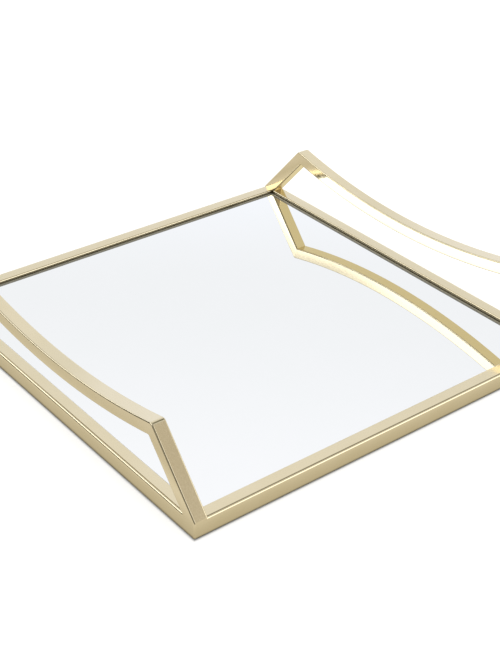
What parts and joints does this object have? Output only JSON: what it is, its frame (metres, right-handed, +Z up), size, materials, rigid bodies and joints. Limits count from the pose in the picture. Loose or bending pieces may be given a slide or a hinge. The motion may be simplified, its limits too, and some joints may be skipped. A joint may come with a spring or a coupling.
{
  "type": "mirrored vanity tray",
  "caption": "Square mirrored vanity tray with a mitred gold-plated steel frame and a dipped handle standing on each of two sides.",
  "frame": {"origin": "on the table under the middle of the tray, level with the undersides of the felt feet", "axes": "+X from the left handle to the right one, +Y from the front rail to the back rail, +Z up"},
  "size_m": [0.305, 0.305, 0.0569],
  "materials": {
    "plated_steel": "pale gold electroplate over steel, satin with a soft gloss",
    "mirror": "clear silvered float glass",
    "backing_paint": "flat grey mirror-backing paint",
    "foam_tape": "white closed-cell foam tape",
    "hardboard": "brown tempered hardboard",
    "zinc_steel": "bright zinc plate",
    "black_felt": "black pressed wool felt"
  },
  "bodies": {
    "root": {"front_rail": "plated_steel", "back_rail": "plated_steel", "left_rail": "plated_steel", "right_rail": "plated_steel", "left_front_post": "plated_steel", "left_back_post": "plated_steel", "right_front_post": "plated_steel", "right_back_post": "plated_steel", "left_grip": "plated_steel", "right_grip": "plated_steel", "mirror_glass": "mirror", "mirror_coating": "backing_paint", "tape_strips": "foam_tape", "backing_board": "hardboard", "front_ledge": "plated_steel", "back_ledge": "plated_steel", "left_ledge": "plated_steel", "right_ledge": "plated_steel", "board_screws": "zinc_steel", "base_cloth": "black_felt", "foot_front_left": "black_felt", "foot_front_right": "black_felt", "foot_back_left": "black_felt", "foot_back_right": "black_felt"}
  },
  "joints": []
}
